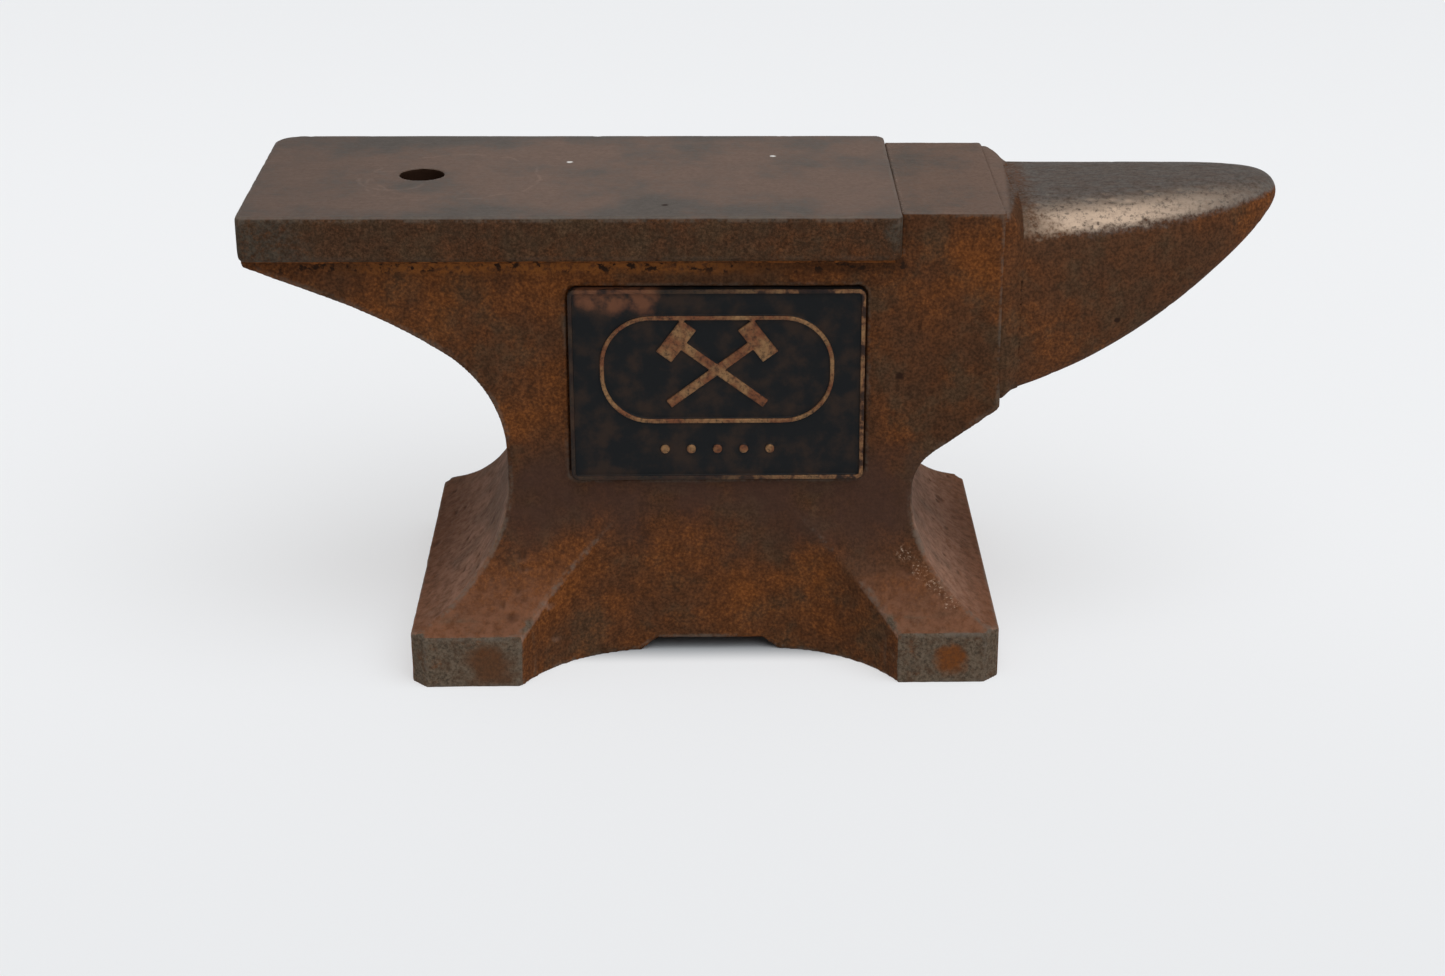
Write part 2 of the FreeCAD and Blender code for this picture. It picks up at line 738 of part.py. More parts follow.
def main():
    parts = [
        anvil_body(),
        face_plate(),
        face_weld("face_weld_front", "-", True),
        face_weld("face_weld_back", "", False),
        horn(),
        horn_weld(),
        name_plaque(),
        plaque_studs(),
    ]
    doc.recompute()
    check(parts)
    os.makedirs("parts", exist_ok=True)
    for part in parts:
        part.Shape.exportStep("parts/%s.step" % part.Label)
        box = part.Shape.BoundBox
        print("%-16s %d solids %9.0f mm3  x %.1f..%.1f  y %.1f..%.1f  z %.1f..%.1f" % (
            part.Label, len(part.Shape.Solids), part.Shape.Volume,
            box.XMin, box.XMax, box.YMin, box.YMax, box.ZMin, box.ZMax))


main()
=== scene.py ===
"""Looks of the blacksmith's anvil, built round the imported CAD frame. All lengths are in metres."""

import math

import bmesh
import bpy
import numpy as np
from mathutils import Matrix, Vector, noise


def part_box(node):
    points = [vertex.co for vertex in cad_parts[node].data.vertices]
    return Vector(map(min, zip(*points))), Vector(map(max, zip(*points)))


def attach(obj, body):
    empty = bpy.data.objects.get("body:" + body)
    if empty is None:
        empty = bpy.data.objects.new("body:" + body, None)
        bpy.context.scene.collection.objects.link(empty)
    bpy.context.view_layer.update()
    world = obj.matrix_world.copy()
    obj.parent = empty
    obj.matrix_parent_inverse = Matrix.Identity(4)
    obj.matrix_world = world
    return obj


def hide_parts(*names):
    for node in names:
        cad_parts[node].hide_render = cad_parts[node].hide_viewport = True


MM = 0.001
# One round of smoothing draws each point this far towards its neighbours' middle, then back out.
SMOOTH_IN = 0.5
SMOOTH_OUT = -0.53
# A pit's radius, as a share of the spacing between pits, and a factor that gives each pit its own draw.
PIT_RADIUS = 0.42
PIT_DRAW = 7.31
# How far the horn collar's rim reaches under the casting's end.
COLLAR_TUCK = 0.8 * MM

# Camera, solved from the photograph's outline: place and angles in the row frame.
CAMERA_PLACE = (-18.8 * MM, -695.0 * MM, 324.3 * MM)
CAMERA_DOWN = 22.594
CAMERA_TURN = 2.869
CAMERA_ROLL = 0.73
CAMERA_LENS = 65.96
CAMERA_SENSOR = 36.0
CAMERA_SHIFT = (-0.0709, -0.0025)
CAMERA_CLIP = (0.05, 30.0)

# The paper floor: how far it reaches each way, its two tones, and the colour and strength of its glow,
# which is painted light standing in for soft fill light.
PAPER_REACH = 6.0
PAPER_DARK = (0.346, 0.366, 0.384)
PAPER_PALE = (0.366, 0.384, 0.400)
PAINTED_GLOW_TINT = (1.004, 0.988, 0.980)
PAINTED_GLOW_STRENGTH = 0.525
# The ground under the feet and the arch between them, where the floor's glow is cut off as a painted
# shadow: its middle and half of its length along X, and half of its width.
SHADE_MIDDLE = -18.0 * MM
SHADE_HALF_LENGTH = 79.0 * MM
SHADE_HALF_WIDTH = 38.0 * MM
# Light: a bright round patch of sky with a soft rim, and how bright it and the rest of the sky are.
LIGHT_DIRECTION = (0.28, -0.42, 0.86)
LIGHT_CORE = math.radians(24)
LIGHT_EDGE = math.radians(42)
LIGHT_KEY = 2.3
LIGHT_ROUND = 0.38
LIGHT_TINT = (0.985, 0.99, 1.0)


# ---------------------------------------------------------------- mesh tools


def evened(node, cell):
    """The CAD node's shape as a new mesh of even faces, about one cell wide and lying on its surface."""
    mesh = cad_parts[node].data.copy()
    work = bmesh.new()
    work.from_mesh(mesh)
    bmesh.ops.remove_doubles(work, verts=work.verts, dist=0.001 * MM)
    work.to_mesh(mesh)
    work.free()
    mesh.materials.clear()
    piece = bpy.data.objects.new("evening", mesh)
    bpy.context.scene.collection.objects.link(piece)
    remesh = piece.modifiers.new("even", "REMESH")
    remesh.mode = "VOXEL"
    remesh.voxel_size = cell
    onto = piece.modifiers.new("onto", "SHRINKWRAP")
    onto.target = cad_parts[node]
    onto.wrap_method = "NEAREST_SURFACEPOINT"
    graph = bpy.context.evaluated_depsgraph_get()
    even = bpy.data.meshes.new_from_object(piece.evaluated_get(graph), depsgraph=graph)
    bpy.data.objects.remove(piece)
    return even


class Surface:
    """The points and edges of a mesh as arrays, for shaping them in code."""

    def __init__(self, mesh):
        self.mesh = mesh
        self.points = np.empty(len(mesh.vertices) * 3, np.float32)
        mesh.vertices.foreach_get("co", self.points)
        self.points = self.points.reshape(-1, 3).astype(float)
        self.edges = np.empty(len(mesh.edges) * 2, np.int32)
        mesh.edges.foreach_get("vertices", self.edges)
        self.edges = self.edges.reshape(-1, 2)
        self.neighbours = np.bincount(self.edges.ravel(), minlength=len(self.points))
        self.low = self.points.min(axis=0)
        self.high = self.points.max(axis=0)

    def averaged(self, values, rounds):
        """The values, each replaced by the mean of its neighbours, a number of times over."""
        ends = np.concatenate([self.edges[:, 0], self.edges[:, 1]])
        others = np.concatenate([self.edges[:, 1], self.edges[:, 0]])
        for _ in range(rounds):
            columns = [
                np.bincount(ends, weights=column[others], minlength=len(self.points))
                for column in values.T
            ]
            values = np.stack(columns, axis=1) / self.neighbours[:, None]
        return values

    def smooth(self, rounds, where=1.0):
        """Softens the sharp edges, by the share given for each point, in rounds of in and out."""
        where = np.reshape(where, (-1, 1))
        for _ in range(rounds):
            for share in (SMOOTH_IN, SMOOTH_OUT):
                self.points += share * where * (self.averaged(self.points, 1) - self.points)
        self.write()

    def write(self):
        """Puts the points back in the mesh, inside the box that the mesh began with."""
        self.points = np.clip(self.points, self.low, self.high)
        self.mesh.vertices.foreach_set("co", self.points.astype(np.float32).ravel())
        self.mesh.update()

    def normals(self):
        """The outward direction at each point."""
        flat = np.empty(len(self.points) * 3, np.float32)
        self.mesh.vertex_normals.foreach_get("vector", flat)
        return flat.reshape(-1, 3).astype(float)

    def bulge(self, rounds):
        """How far each point stands proud of the ground round it: edges above 0, hollows below."""
        return ((self.points - self.averaged(self.points, rounds)) * self.normals()).sum(axis=1)

    def noise(self, size, seed=0.0, stretch=(1.0, 1.0, 1.0)):
        """Smooth noise from about -1 to 1, whose lumps are the given size."""
        places = self.points / size / np.array(stretch) + seed
        return np.array([noise.noise(Vector(place)) for place in places])

    def pits(self, spacing, share, seed=0.0, stretch=(1.0, 1.0, 1.0)):
        """Round hollows: 1 at a pit's middle, 0 outside, in that share of cells of the spacing."""
        places = self.points / spacing / np.array(stretch) + seed
        depth = np.zeros(len(places))
        for index, place in enumerate(places):
            distances, centres = noise.voronoi(Vector(place))
            if (noise.cell(centres[0] * PIT_DRAW) + 1.0) / 2.0 < share:
                depth[index] = max(0.0, 1.0 - (distances[0] / PIT_RADIUS) ** 2)
        return depth

    def along(self, axis, start, end):
        """A share at each point that goes from 0 to 1 between two places on an axis."""
        return np.clip((self.points[:, "XYZ".index(axis)] - start) / (end - start), 0.0, 1.0)

    def off_middle(self, axis, start, end):
        """The same towards both ends of an axis: 0 up to the start from its zero, 1 from the end on."""
        return np.maximum(self.along(axis, start, end), self.along(axis, -start, -end))

    def push(self, outward):
        """Moves each point along its normal."""
        self.points = self.points + self.normals() * outward[:, None]
        self.write()

    def keep(self, name, values):
        """Stores a value at each point, for the materials to read."""
        layer = self.mesh.attributes.new(name, "FLOAT", "POINT")
        layer.data.foreach_set("value", np.clip(values, 0.0, 1.0).astype(np.float32))

    def edges_and_hollows(self, rounds, height):
        """How sharp an edge or a hollow each point is on, both from 0 to 1."""
        bulge = self.bulge(rounds) / height
        return np.clip(bulge, 0.0, 1.0), np.clip(-bulge, 0.0, 1.0)

    def mark_edges(self, rounds, height):
        """Stores where the shape's edges and hollows are, as attributes edge and hollow."""
        edge, hollow = self.edges_and_hollows(rounds, height)
        self.keep("edge", edge)
        self.keep("hollow", hollow)


def new_piece(name, mesh, node, material):
    """Shows a mesh in place of a CAD node, in its material."""
    mesh.name = name
    mesh.materials.append(material)
    mesh.shade_smooth()
    piece = bpy.data.objects.new(name, mesh)
    bpy.context.scene.collection.objects.link(piece)
    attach(piece, "root")
    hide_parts(node)


# ---------------------------------------------------------------- material tools


class Shader:
    """A material or a world being wired up. Each method adds a node and returns its output."""

    def __init__(self, owner, coordinates="Object"):
        self.owner = owner
        owner.use_nodes = True
        self.nodes = owner.node_tree.nodes
        self.links = owner.node_tree.links
        self.nodes.clear()
        self.coordinates = self.nodes.new("ShaderNodeTexCoord").outputs[coordinates]

    def feed(self, socket, value):
        """Puts an output, a number or a colour into a socket."""
        if isinstance(value, bpy.types.NodeSocket):
            self.links.new(value, socket)
        elif isinstance(value, (tuple, list)) and len(value) == 3 and socket.type == "RGBA":
            socket.default_value = (*value, 1.0)
        else:
            socket.default_value = value

    def math(self, operation, first, second=0.0):
        """One step of arithmetic on outputs or numbers."""
        node = self.nodes.new("ShaderNodeMath")
        node.operation = operation
        self.feed(node.inputs[0], first)
        self.feed(node.inputs[1], second)
        return node.outputs[0]

    def stretched(self, *stretch):
        """Object coordinates, pulled out along each axis by the given amount."""
        node = self.nodes.new("ShaderNodeMapping")
        self.feed(node.inputs["Vector"], self.coordinates)
        node.inputs["Scale"].default_value = [1.0 / amount for amount in stretch]
        return node.outputs["Vector"]

    def noise(self, size, detail=4.0, roughness=0.55, seed=0.0, vector=None):
        """Cloudy noise round 0.5, whose lumps are the given size; each seed has its own pattern."""
        node = self.nodes.new("ShaderNodeTexNoise")
        node.noise_dimensions = "4D"
        self.feed(node.inputs["Vector"], vector or self.coordinates)
        node.inputs["W"].default_value = seed
        node.inputs["Scale"].default_value = 1.0 / size
        node.inputs["Detail"].default_value = detail
        node.inputs["Roughness"].default_value = roughness
        return node.outputs["Fac"]

    def attribute(self, name):
        """A value that a piece's mesh keeps at each point."""
        node = self.nodes.new("ShaderNodeAttribute")
        node.attribute_name = name
        return node.outputs["Fac"]

    def between(self, value, low, high):
        """0 below low, 1 above high, and a smooth rise between; high may be the lower one."""
        node = self.nodes.new("ShaderNodeMapRange")
        node.interpolation_type = "SMOOTHSTEP"
        self.feed(node.inputs["Value"], value)
        if low < high:
            ends = (low, high, 0.0, 1.0)
        else:
            ends = (high, low, 1.0, 0.0)
        for name, end in zip(("From Min", "From Max", "To Min", "To Max"), ends):
            node.inputs[name].default_value = end
        return node.outputs["Result"]

    def part(self, vector, axis):
        """One of a vector's three numbers."""
        node = self.nodes.new("ShaderNodeSeparateXYZ")
        self.feed(node.inputs[0], vector)
        return node.outputs["XYZ".index(axis)]

    def place(self, axis):
        """Where the surface is along an axis of the row frame."""
        return self.part(self.coordinates, axis)

    def facing(self, axis):
        """How far the surface faces along an axis, from -1 to 1."""
        normal = self.nodes.new("ShaderNodeNewGeometry").outputs["Normal"]
        return self.part(normal, axis)

    def distance(self, place):
        """How far the surface is from a place."""
        node = self.nodes.new("ShaderNodeVectorMath")
        node.operation = "DISTANCE"
        self.feed(node.inputs[0], self.coordinates)
        node.inputs[1].default_value = place
        return node.outputs["Value"]

    def near(self, place, radius):
        """1 at a place, falling to 0 at about the radius along a ragged rim."""
        ragged = self.math("MULTIPLY", self.noise(radius * 0.7, detail=3.0), radius)
        return self.between(self.math("ADD", self.distance(place), ragged), radius * 1.4, radius * 0.9)

    def ring(self, place, radius, width):
        """1 along a slightly unsteady circle round a place, 0 away from it."""
        wander = self.math("MULTIPLY", self.noise(8 * MM, detail=2.0, seed=8.0), 0.3 * radius)
        from_ring = self.math("SUBTRACT", self.math("ADD", self.distance(place), wander), radius * 1.15)
        return self.between(self.math("ABSOLUTE", from_ring), width, 0.0)

    def near_any(self, places, radius):
        """1 at any of several places, falling to 0 about the radius away from each."""
        found = 0.0
        for place in places:
            found = self.math("MAXIMUM", found, self.near(place, radius))
        return found

    def both(self, *shares):
        """Several shares or amounts taken together, as their product."""
        taken = shares[0]
        for share in shares[1:]:
            taken = self.math("MULTIPLY", taken, share)
        return taken

    def shaded(self, colour, share, darkest, lightest):
        """The colour, made darker or lighter as the share goes from 0 to 1."""
        shade = self.mix(share, (darkest,) * 3, (lightest,) * 3)
        return self.mix(1.0, colour, shade, "MULTIPLY")

    def less(self, share):
        """What is left of 1 after a share."""
        return self.math("SUBTRACT", 1.0, share)

    def sum(self, *values):
        """The sum of several values, each given as (amount, value)."""
        total = 0.0
        for amount, value in values:
            total = self.math("ADD", total, self.math("MULTIPLY", value, amount))
        return total

    def mix(self, factor, first, second, blend="MIX"):
        """The first colour, turning to the second as the factor rises."""
        node = self.nodes.new("ShaderNodeMix")
        node.data_type = "RGBA"
        node.blend_type = blend
        self.feed(node.inputs["Factor"], factor)
        colours = [socket for socket in node.inputs if socket.type == "RGBA"]
        self.feed(colours[0], first)
        self.feed(colours[1], second)
        return [socket for socket in node.outputs if socket.type == "RGBA"][0]

    def bump(self, height, depth):
        """Fine relief: height 0 to 1 stands for the given depth."""
        node = self.nodes.new("ShaderNodeBump")
        node.inputs["Strength"].default_value = 1.0
        node.inputs["Distance"].default_value = depth
        self.feed(node.inputs["Height"], height)
        return node.outputs["Normal"]

    def finish(self, colour, roughness, metallic, normal, specular=0.5, painted_glow=0.0):
        """The surface itself, from its colour, its gloss and any painted glow."""
        shader = self.nodes.new("ShaderNodeBsdfPrincipled")
        self.feed(shader.inputs["Base Color"], colour)
        self.feed(shader.inputs["Roughness"], roughness)
        self.feed(shader.inputs["Metallic"], metallic)
        self.feed(shader.inputs["Normal"], normal)
        self.feed(shader.inputs["Specular IOR Level"], specular)
        self.feed(shader.inputs["Emission Strength"], painted_glow)
        shader.inputs["Emission Color"].default_value = (*PAINTED_GLOW_TINT, 1.0)
        output = self.nodes.new("ShaderNodeOutputMaterial")
        self.links.new(shader.outputs["BSDF"], output.inputs["Surface"])
        return self.owner


# ---------------------------------------------------------------- materials

BLACK_BROWN = (0.024, 0.012, 0.007)
DARK_BROWN = (0.064, 0.031, 0.016)
OLIVE_BROWN = (0.066, 0.040, 0.022)
RED_BROWN = (0.092, 0.035, 0.014)
MAROON = (0.058, 0.029, 0.021)
ORANGE_RUST = (0.142, 0.047, 0.013)
BRIGHT_RUST = (0.230, 0.078, 0.018)
PINK_BROWN = (0.155, 0.070, 0.040)
PINK_DUST_AND_SHEEN = (0.250, 0.135, 0.090)
FOOT_OLIVE = (0.110, 0.074, 0.052)
FOOT_IRON = (0.098, 0.073, 0.051)
PLATE_OLIVE = (0.050, 0.031, 0.018)
DULL_IRON = (0.056, 0.043, 0.031)
IRON_GREY = (0.120, 0.098, 0.078)
BARE_IRON = (0.400, 0.300, 0.220)
FACE_BROWN = (0.146, 0.096, 0.073)
FACE_GREY = (0.094, 0.079, 0.068)
CHIP_WHITE = (0.700, 0.680, 0.640)
CREST_BROWN = (0.090, 0.066, 0.053)
CREST_GREY = (0.104, 0.092, 0.082)
PLATE_BLACK = (0.007, 0.008, 0.009)
PLATE_BROWN = (0.024, 0.015, 0.011)
COPPER = (0.190, 0.072, 0.034)
BRASS = (0.300, 0.165, 0.075)
DULL_BRASS = (0.300, 0.190, 0.080)
BRIGHT_BRASS = (0.550, 0.380, 0.170)

# Marks on the iron, in the row frame.
HOLE = (-93.8 * MM, 0.0, 126.0 * MM)
FACE_CHIPS = ((-54.6 * MM, 12.1 * MM, 126 * MM), (1.3 * MM, 18.1 * MM, 126 * MM))
FACE_PIT = (-28.1 * MM, -29.1 * MM, 126 * MM)
FACE_WORN_CORNERS = (((33 * MM, -40 * MM, 121 * MM), 6 * MM), ((-134 * MM, -40 * MM, 119 * MM), 20 * MM))
FACE_SWIRLS = (
    ((-101 * MM, -6 * MM, 126 * MM), 9 * MM),
    ((-94 * MM, -10 * MM, 126 * MM), 14 * MM),
    ((-84 * MM, -2 * MM, 126 * MM), 22 * MM),
)
FLANK_PIT = (33.9 * MM, -34.6 * MM, 80.3 * MM)
HORN_PIT = (92.5 * MM, -27.0 * MM, 93.2 * MM)
DARK_STAIN = (-76 * MM, -56.4 * MM, 6 * MM)
BRIGHT_STAIN = (48 * MM, -56.4 * MM, 7 * MM)
RIDGE_CHIPS = (
    (36 * MM, -40 * MM, 31 * MM),
    (40 * MM, -42 * MM, 27 * MM),
    (44 * MM, -45 * MM, 23 * MM),
    (48 * MM, -48 * MM, 20 * MM),
)


def rust_colour(shader, orange):
    """Brown to orange rust with a fine grain; orange, about 0, shifts the share of orange."""
    clouds = shader.noise(30 * MM, detail=2.0)
    patches = shader.noise(9 * MM, detail=4.0, seed=3.0)
    mottle = shader.noise(2.4 * MM, detail=4.0, roughness=0.7)
    grains = shader.noise(0.8 * MM, detail=2.0, roughness=0.6)
    runs = shader.noise(1.6 * MM, detail=3.0, seed=6.0, vector=shader.stretched(1.0, 1.0, 9.0))
    wanted = shader.sum((0.75, clouds), (0.45, patches), (0.24, mottle), (0.16, grains), (1.0, orange))
    rust = shader.mix(shader.between(wanted, 0.60, 0.90), DARK_BROWN, RED_BROWN)
    olive = shader.between(shader.noise(13 * MM, detail=4.0, roughness=0.65, seed=7.0), 0.48, 0.66)
    rust = shader.mix(shader.both(olive, 0.7), rust, OLIVE_BROWN)
    rust = shader.mix(shader.between(wanted, 0.78, 1.06), rust, ORANGE_RUST)
    bright = shader.both(shader.between(grains, 0.54, 0.70), shader.between(wanted, 0.78, 0.96))
    rust = shader.mix(shader.both(bright, 0.25), rust, BRIGHT_RUST)
    rust = shader.shaded(rust, shader.between(mottle, 0.30, 0.70), 0.84, 1.16)
    rust = shader.shaded(rust, shader.between(runs, 0.35, 0.65), 0.92, 1.06)
    return shader.shaded(rust, shader.between(grains, 0.34, 0.62), 0.68, 1.12)


def cast_grain(shader, depth):
    """The sand-cast skin: fine grain on top of small lumps."""
    grain = shader.noise(0.7 * MM, detail=3.0, roughness=0.65)
    lumps = shader.noise(2.4 * MM, detail=3.0)
    return shader.bump(shader.sum((0.5, grain), (0.5, lumps)), depth)


def rubbed_edges(shader, colour, amount, bare):
    """The colour, rubbed through to another in patches along the edges, with its share."""
    rubbed = shader.noise(1.4 * MM, detail=5.0, roughness=0.65)
    patches = shader.noise(14 * MM, detail=3.0, seed=5.0)
    worn = shader.both(
        shader.between(shader.attribute("edge"), 0.25, 1.0),
        shader.between(shader.sum((0.5, rubbed), (0.5, patches)), 0.44, 0.60),
        amount,
    )
    return shader.mix(worn, colour, bare), worn


def face_top(shader):
    """Smooth mauve-brown iron with greyer patches, a fine grain and faint scratches."""
    clouds = shader.noise(24 * MM, detail=6.0, roughness=0.65)
    fine = shader.noise(1.1 * MM, detail=5.0, roughness=0.75)
    scratches = shader.noise(0.5 * MM, detail=2.0, vector=shader.stretched(26.0, 1.0, 1.0), seed=2.0)
    at_edge = shader.between(shader.math("ABSOLUTE", shader.place("Y")), 20 * MM, 40 * MM)
    greyness = shader.sum((1.0, clouds), (0.4, fine), (0.10, at_edge))
    colour = shader.mix(shader.between(greyness, 0.64, 0.88), FACE_BROWN, FACE_GREY)
    colour = shader.shaded(colour, shader.between(fine, 0.32, 0.68), 0.84, 1.14)
    colour = shader.shaded(colour, shader.between(scratches, 0.30, 0.70), 0.95, 1.05)
    colour = shader.shaded(colour, shader.between(shader.place("X"), -135 * MM, -65 * MM), 0.82, 1.0)
    broken = shader.between(shader.noise(7 * MM, detail=3.0, seed=9.0), 0.46, 0.58)
    swirls = 0.0
    for place, radius in FACE_SWIRLS:
        swirls = shader.math("MAXIMUM", swirls, shader.ring(place, radius, 0.8 * MM))
    return shader.shaded(colour, shader.both(swirls, broken), 1.0, 1.28)


def foot_tops(shader, colour):
    """The casting's colour, pink-brown on top of the feet, partly dust and partly a painted sheen on faces
    turned up and towards the ends, and greyer higher up.
    """
    height = shader.place("Z")
    upward = shader.facing("Z")
    endward = shader.math("ABSOLUTE", shader.facing("X"))
    on_feet = shader.both(shader.between(height, 72 * MM, 48 * MM), shader.between(upward, 0.02, 0.10))
    mottle = shader.between(shader.noise(2.5 * MM, detail=5.0, roughness=0.75), 0.30, 0.62)
    # Dust and painted sheen: lighter where the feet's faces turn up and towards the ends.
    dust_and_sheen_share = shader.both(
        on_feet,
        shader.between(shader.sum((1.0, upward), (0.8, endward)), 0.42, 0.95),
        shader.sum((0.5, mottle), (0.5, 1.0)),
    )
    dust_and_sheen = shader.mix(shader.between(endward, 0.3, 0.8), PINK_BROWN, PINK_DUST_AND_SHEEN)
    greyer = shader.between(shader.sum((1.0, shader.noise(12 * MM, detail=4.0)), (9.0, height)), 0.66, 0.92)
    dust_and_sheen = shader.mix(shader.both(greyer, 0.6), dust_and_sheen, FOOT_OLIVE)
    dust_and_sheen = shader.shaded(dust_and_sheen, mottle, 0.82, 1.10)
    dust_and_sheen = shader.shaded(dust_and_sheen, shader.attribute("pit"), 1.0, 0.70)
    return shader.mix(dust_and_sheen_share, colour, dust_and_sheen)


def foot_fronts(shader, colour):
    """The casting's colour, with speckled bare iron round two rusty stains on the feet's fronts."""
    front = shader.both(
        shader.between(shader.math("ABSOLUTE", shader.facing("Y")), 0.56, 0.66),
        shader.between(shader.math("ABSOLUTE", shader.place("Y")), 50 * MM, 52 * MM),
    )
    dark = shader.both(shader.near(DARK_STAIN, 9 * MM), 0.85)
    bright = shader.near(BRIGHT_STAIN, 6 * MM)
    patchy = shader.between(shader.noise(6 * MM, detail=5.0, roughness=0.75), 0.22, 0.48)
    speckle = shader.between(shader.noise(0.9 * MM, roughness=0.75), 0.35, 0.62)
    iron = shader.shaded(FOOT_IRON, speckle, 0.50, 1.30)
    smeared = shader.between(shader.noise(3 * MM, detail=5.0, roughness=0.7, seed=2.0), 0.45, 0.65)
    iron = shader.mix(shader.both(smeared, 0.5), iron, DARK_BROWN)
    iron = shader.mix(dark, iron, shader.mix(speckle, DARK_BROWN, RED_BROWN))
    iron = shader.mix(bright, iron, shader.mix(speckle, RED_BROWN, ORANGE_RUST))
    return shader.mix(shader.both(front, patchy), colour, iron)


def seam_under_face(shader, colour):
    """The casting's colour, with crust, holes and shade in a narrow band just under the face."""
    face_low, face_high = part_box("face_plate")
    seam = face_low[2]
    face_end = face_high[0]
    height = shader.place("Z")
    along = shader.place("X")
    creep = shader.noise(4 * MM, detail=5.0, roughness=0.7, seed=4.0)
    band = shader.both(
        shader.between(shader.sum((1.0, height), (3 * MM, creep)), seam - 4.2 * MM, seam - 1.7 * MM),
        shader.between(height, seam + 0.1 * MM, seam - 0.7 * MM),
        shader.between(along, face_end + 2.5 * MM, face_end + 0.5 * MM),
    )
    in_shade = shader.between(along, -25 * MM, 15 * MM)
    crusted = shader.both(band, shader.between(along, -122 * MM, -92 * MM), shader.less(in_shade))
    grain = shader.noise(1.5 * MM, detail=4.0, roughness=0.7, seed=5.0)
    crust = shader.mix(shader.between(grain, 0.36, 0.56), RED_BROWN, BRIGHT_RUST)
    colour = shader.mix(shader.both(crusted, 0.75), colour, crust)
    colour = shader.mix(shader.both(band, in_shade, 0.45), colour, BLACK_BROWN)
    holes = shader.between(shader.noise(2.6 * MM, detail=4.0, seed=11.0), 0.54, 0.61)
    return shader.mix(shader.both(band, holes), colour, BLACK_BROWN)


def dark_crevices(shader, colour):
    """The colour, black in the hollows, though only a little at the plaque's height."""
    plaque_low, plaque_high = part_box("name_plaque")
    height = shader.place("Z")
    off_plaque = shader.math(
        "MAXIMUM",
        shader.between(height, plaque_low[2] - 1.5 * MM, plaque_low[2] - 5.5 * MM),
        shader.between(height, plaque_high[2] + 1 * MM, plaque_high[2] + 4 * MM),
    )
    crevice = shader.both(shader.attribute("hollow"), shader.sum((0.55, off_plaque), (0.15, 1.0)))
    return shader.mix(crevice, colour, BLACK_BROWN)


def rusted_casting():
    """Sand-cast iron under brown rust, rubbed along its edges, with a smoother table on top."""
    shader = Shader(bpy.data.materials.new("rusted_casting"))
    height = shader.place("Z")
    drift = shader.noise(22 * MM, detail=5.0, seed=2.0)
    wavy = shader.sum((1.0, height), (36 * MM, drift), (-18 * MM, 1.0))
    low_down = shader.between(wavy, 46 * MM, 28 * MM)
    high_up = shader.between(height, 96 * MM, 112 * MM)
    at_waist = shader.both(shader.between(height, 66 * MM, 50 * MM), shader.between(wavy, 24 * MM, 46 * MM))
    orange = shader.sum((0.06, low_down), (0.03, high_up), (-0.12, at_waist))
    dusky = shader.both(at_waist, shader.between(shader.noise(16 * MM, detail=5.0, seed=2.0), 0.30, 0.56))
    rust = shader.mix(shader.both(dusky, 0.7), rust_colour(shader, orange), MAROON)
    rust = shader.shaded(rust, low_down, 0.93, 0.96)
    colour = foot_fronts(shader, foot_tops(shader, rust))
    colour = dark_crevices(shader, seam_under_face(shader, colour))
    colour, worn = rubbed_edges(shader, colour, shader.sum((0.25, low_down), (0.4, 1.0)), IRON_GREY)
    on_table = shader.both(
        shader.between(shader.facing("Z"), 0.40, 0.60),
        shader.between(height, 119 * MM, 121 * MM),
    )
    colour = shader.mix(on_table, colour, face_top(shader))
    colour = shader.mix(shader.near(FLANK_PIT, 1.6 * MM), colour, BLACK_BROWN)
    scuffs = shader.between(shader.noise(0.8 * MM, detail=5.0, roughness=0.75), 0.54, 0.62)
    chips = shader.both(shader.near_any(RIDGE_CHIPS, 3.4 * MM), scuffs)
    colour = shader.mix(shader.both(chips, 0.7), colour, BARE_IRON)
    face_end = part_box("face_plate")[1][0]
    beside_face = shader.between(shader.place("X"), face_end + 1.5 * MM, face_end + 0.7 * MM)
    colour = shader.mix(shader.both(on_table, beside_face, scuffs, 0.5), colour, BARE_IRON)
    roughness = shader.sum((-0.2, worn), (-0.15, on_table), (0.72, 1.0))
    return shader.finish(colour, roughness, 0.0, cast_grain(shader, 0.30 * MM), 0.03)


